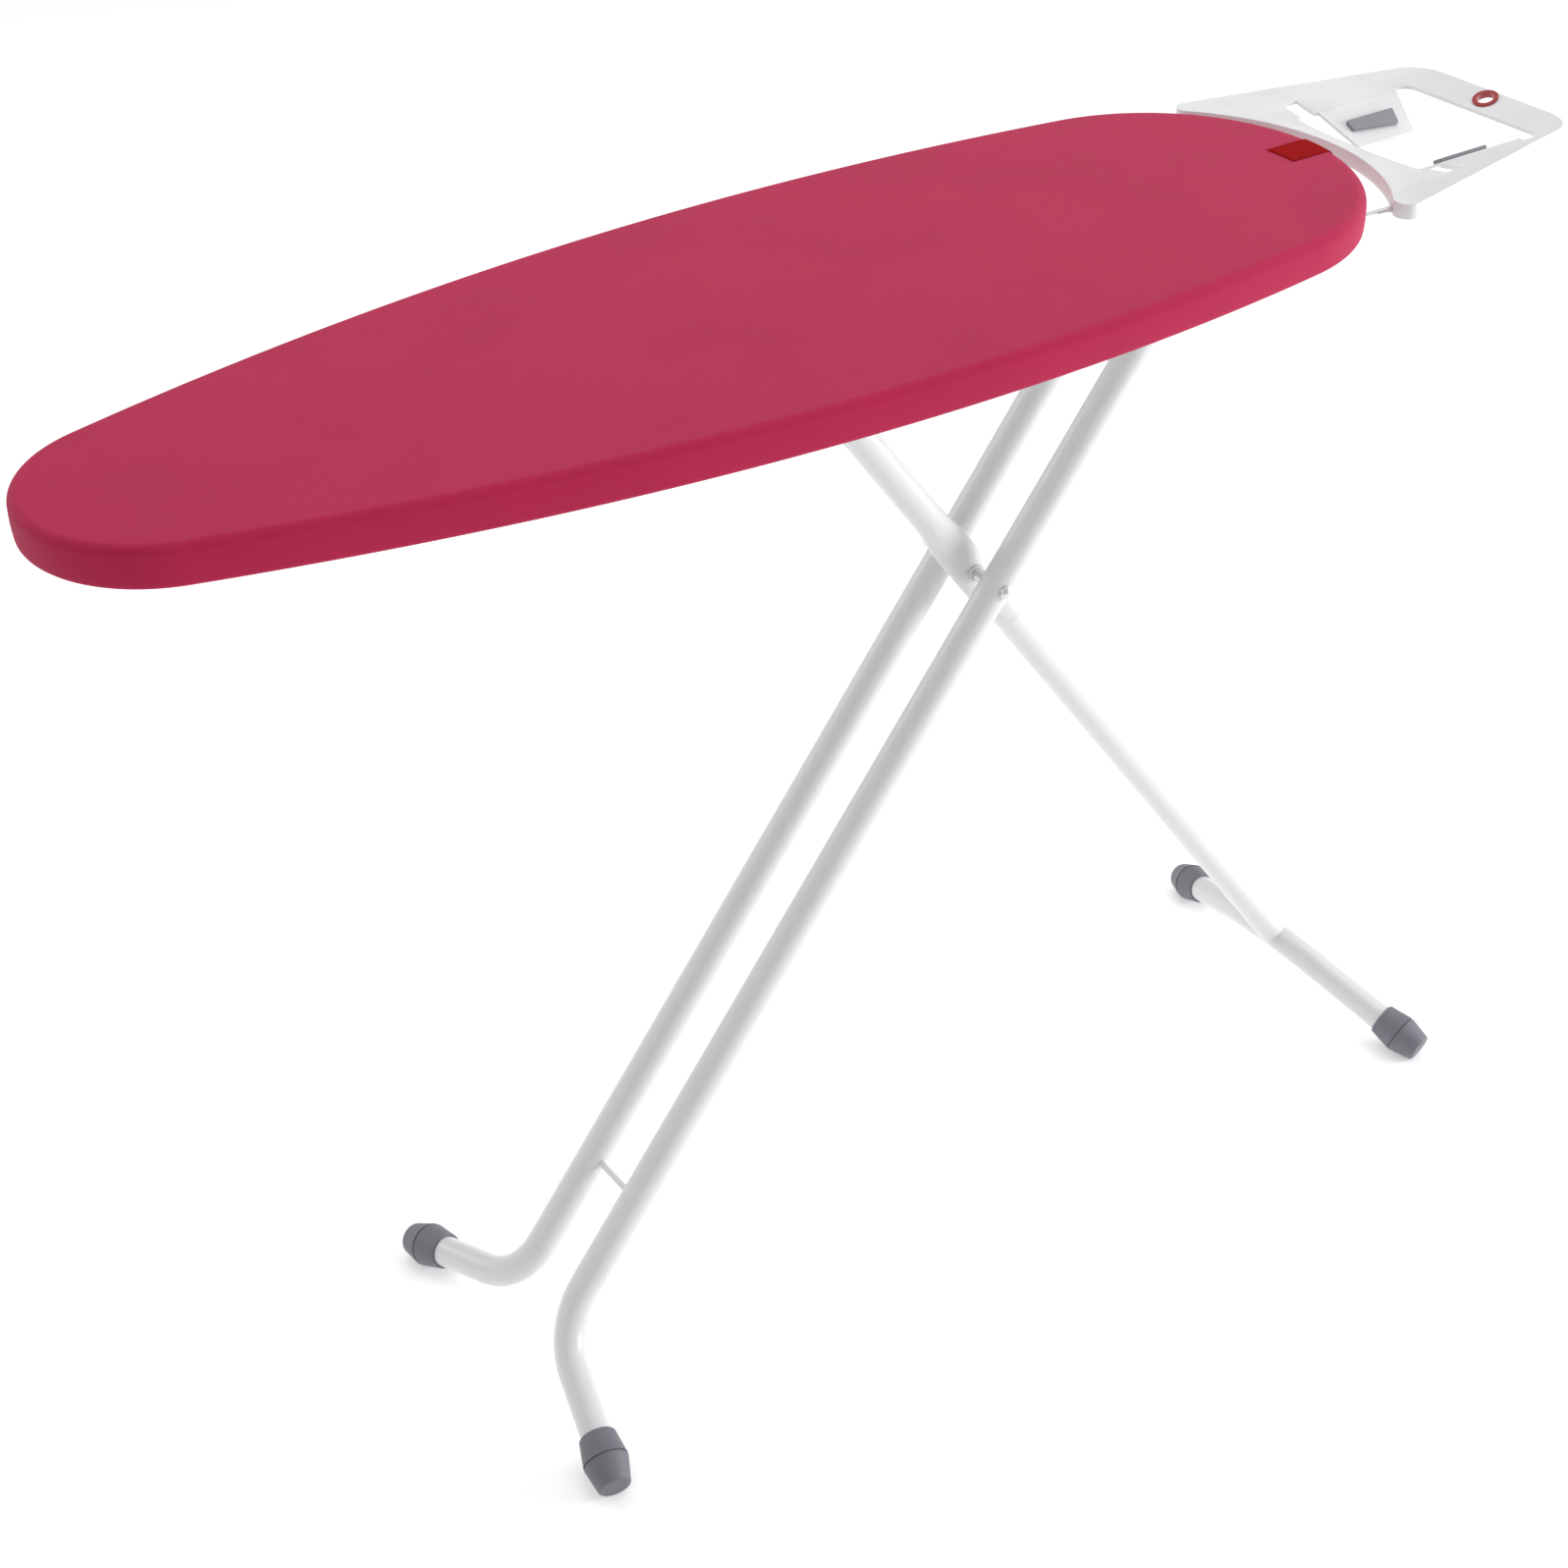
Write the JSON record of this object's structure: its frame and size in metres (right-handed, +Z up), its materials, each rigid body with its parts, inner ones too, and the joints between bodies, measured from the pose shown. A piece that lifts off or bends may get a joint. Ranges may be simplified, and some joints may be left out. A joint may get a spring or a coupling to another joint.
{
  "type": "ironing board",
  "caption": "Folding ironing board on a scissor stand: padded cloth top, sliding iron rest with a hanging hole, height lever and rubber feet.",
  "frame": {"origin": "on the floor, under the middle of the whole board with its iron rest", "axes": "+X towards the iron rest, +Z up, y = 0 is the middle plane"},
  "size_m": [1.3669, 0.38, 0.954],
  "materials": {
    "cover_fabric": "woven cotton",
    "elastic": "woven elastic",
    "foam": "open foam",
    "tag_fabric": "woven ribbon",
    "white_steel": "satin powder coat",
    "bright_steel": "zinc plated",
    "white_plastic": "satin moulded",
    "grey_plastic": "moulded",
    "grey_rubber": "matte",
    "grey_silicone": "satin",
    "red_plastic": "gloss moulded"
  },
  "bodies": {
    "board": {"cover": "cover_fabric", "hem_elastic": "elastic", "foam_pad": "foam", "woven_tag": "tag_fabric", "mesh_top": "white_steel", "board_rim": "white_steel", "crossmember_front": "white_steel", "crossmember_middle": "white_steel", "crossmember_rear": "white_steel", "hinge_bracket_left": "white_steel", "hinge_bracket_right": "white_steel", "hinge_axle": "bright_steel", "axle_caps": "bright_steel", "slide_rail_left": "white_steel", "slide_rail_right": "white_steel", "rail_spacers": "white_steel", "rail_stop_pins": "bright_steel", "lock_housing": "white_steel", "clutch_plates": "bright_steel", "clutch_spring": "bright_steel", "lever_pin": "bright_steel", "rod_guide_left": "bright_steel", "rod_guide_right": "bright_steel"},
    "outer_leg": {"leg_tube_left": "white_steel", "leg_tube_right": "white_steel", "hinge_lug_left": "white_steel", "hinge_lug_right": "white_steel", "cross_rod": "white_steel", "leg_cap_left": "grey_rubber", "leg_cap_right": "grey_rubber", "pivot_bolt": "bright_steel", "pivot_washers": "bright_steel", "pivot_nut": "bright_steel", "pivot_spacers": "bright_steel"},
    "t_leg": {"t_leg_tube": "white_steel", "t_bar": "white_steel", "t_bar_cap_left": "grey_rubber", "t_bar_cap_right": "grey_rubber", "pivot_bush": "white_plastic", "top_bush": "grey_plastic"},
    "carriage": {"slide_bar": "bright_steel", "slider_left": "grey_plastic", "slider_right": "grey_plastic", "rod_yoke": "white_steel", "lock_rod": "bright_steel"},
    "lever": {"height_lever": "white_steel", "lever_grip": "grey_plastic"},
    "iron_rest": {"iron_rest_frame": "white_plastic", "rest_pad_left": "grey_silicone", "rest_pad_right": "grey_silicone", "hanging_ring": "red_plastic", "rest_rod_left": "bright_steel", "rest_rod_right": "bright_steel"}
  },
  "joints": [
    {"name": "leg_fold", "type": "hinge", "parent": "board", "child": "outer_leg", "pos_m": [0.27593, 0, 0.912], "axis": [0, 1, 0], "range_deg": [0, 50]},
    {"name": "scissor", "type": "hinge", "parent": "outer_leg", "child": "t_leg", "pos_m": [0.0913, 0, 0.6523], "axis": [0, 1, 0], "range_deg": [-100, 0]},
    {"name": "slide_turn", "type": "hinge", "parent": "t_leg", "child": "carriage", "pos_m": [-0.09333, 0, 0.912], "axis": [0, 1, 0], "range_deg": [0, 50]},
    {"name": "lever_pull", "type": "hinge", "parent": "board", "child": "lever", "pos_m": [0.032, -0.01, 0.9095], "axis": [0, 0, 1], "range_deg": [0, 5], "stiffness_Nm_per_rad": 2},
    {"name": "rest_slide", "type": "slide", "parent": "board", "child": "iron_rest", "axis": [1, 0, 0], "range_m": [-0.012, 0.05]}
  ],
  "couplings": [
    {"joint": "scissor", "follows": "leg_fold", "ratio": -2},
    {"joint": "slide_turn", "follows": "leg_fold", "ratio": 1}
  ]
}
